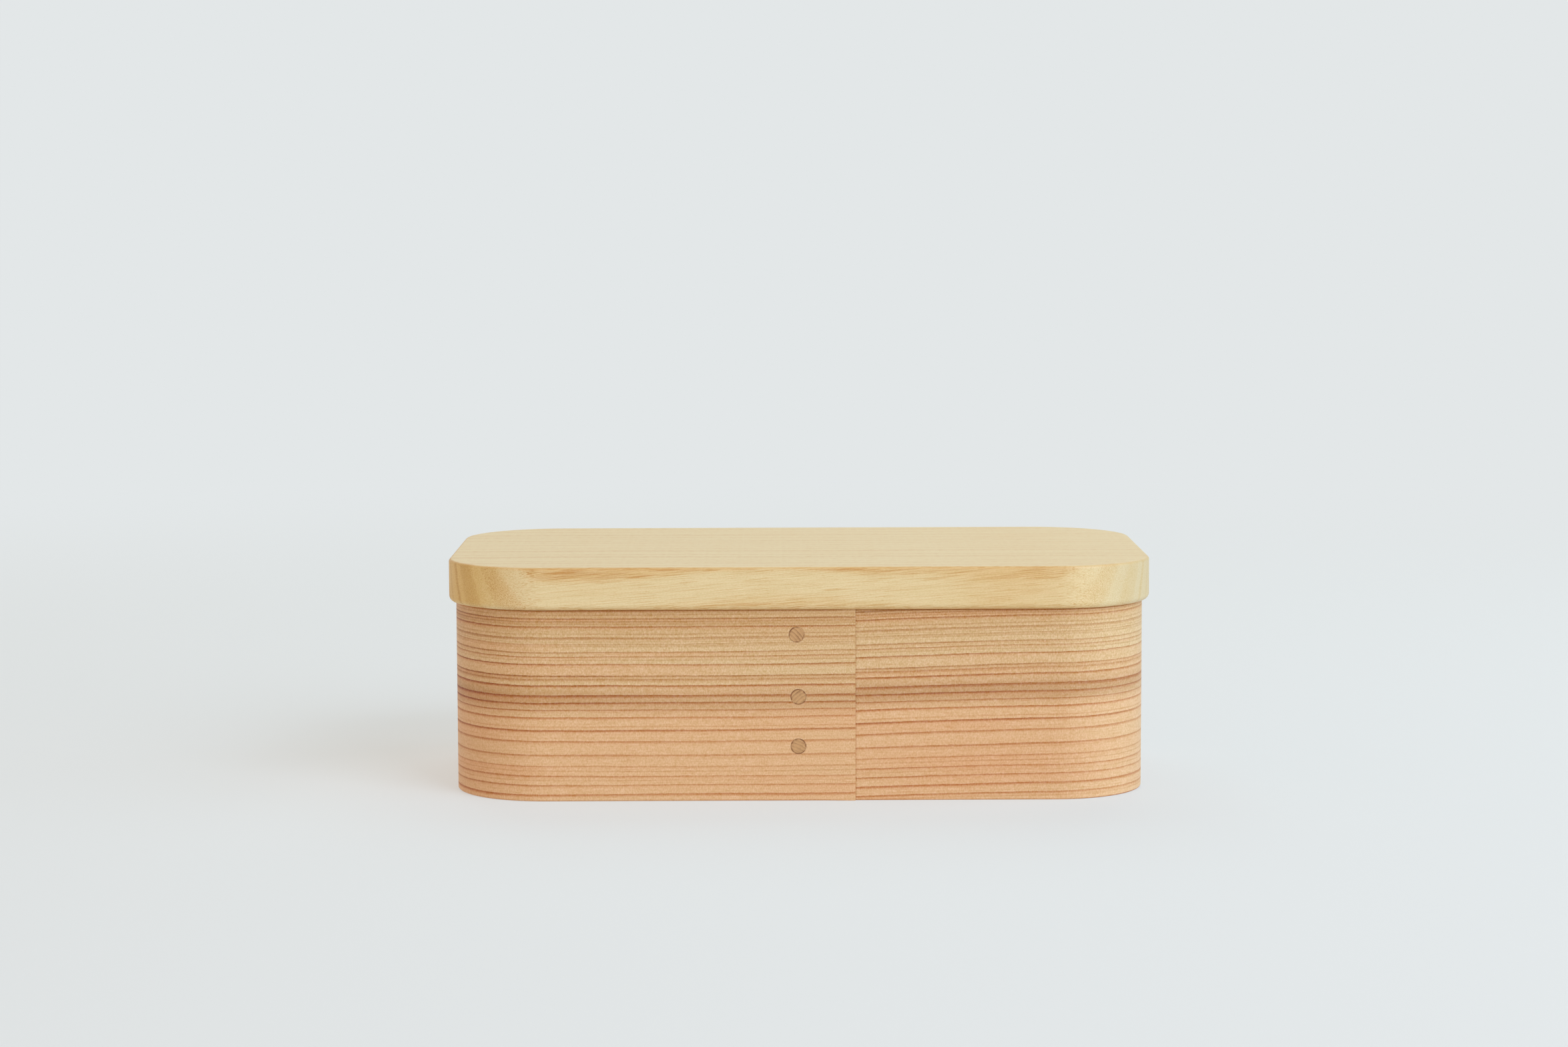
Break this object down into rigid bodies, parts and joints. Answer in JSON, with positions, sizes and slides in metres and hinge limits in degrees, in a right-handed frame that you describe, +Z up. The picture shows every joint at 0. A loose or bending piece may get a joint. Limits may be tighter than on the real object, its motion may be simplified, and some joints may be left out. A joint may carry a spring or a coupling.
{
  "type": "bento box",
  "caption": "Oblong bentwood lunch box: a cedar band with a dowelled scarf lap, an inset base board, a loose divider and a thick carved lid that plugs into its mouth.",
  "frame": {"origin": "centre of the footprint, on the surface that the box stands on", "axes": "+X along the box's length, to the right seen from the lap, +Y from the lap's face to the back, +Z up"},
  "size_m": [0.1816, 0.1016, 0.06],
  "materials": {
    "band_cedar": "planed and clear oiled, straight growth rings along the strip",
    "base_cedar": "planed",
    "dowel_wood": "end grain sanded flush",
    "lid_wood": "sanded and clear oiled, fine open pores",
    "divider_cedar": "planed"
  },
  "bodies": {
    "box": {"side_band": "band_cedar", "base_board": "base_cedar", "lap_dowel_lower": "dowel_wood", "lap_dowel_middle": "dowel_wood", "lap_dowel_upper": "dowel_wood"},
    "lid": {"lid": "lid_wood"},
    "divider": {"divider": "divider_cedar"}
  },
  "joints": [
    {"name": "lid_lift", "type": "slide", "parent": "box", "child": "lid", "axis": [0, 0, 1], "range_m": [0, 0.08]},
    {"name": "divider_slide", "type": "slide", "parent": "box", "child": "divider", "axis": [1, 0, 0], "range_m": [-0.09, 0.03]}
  ]
}
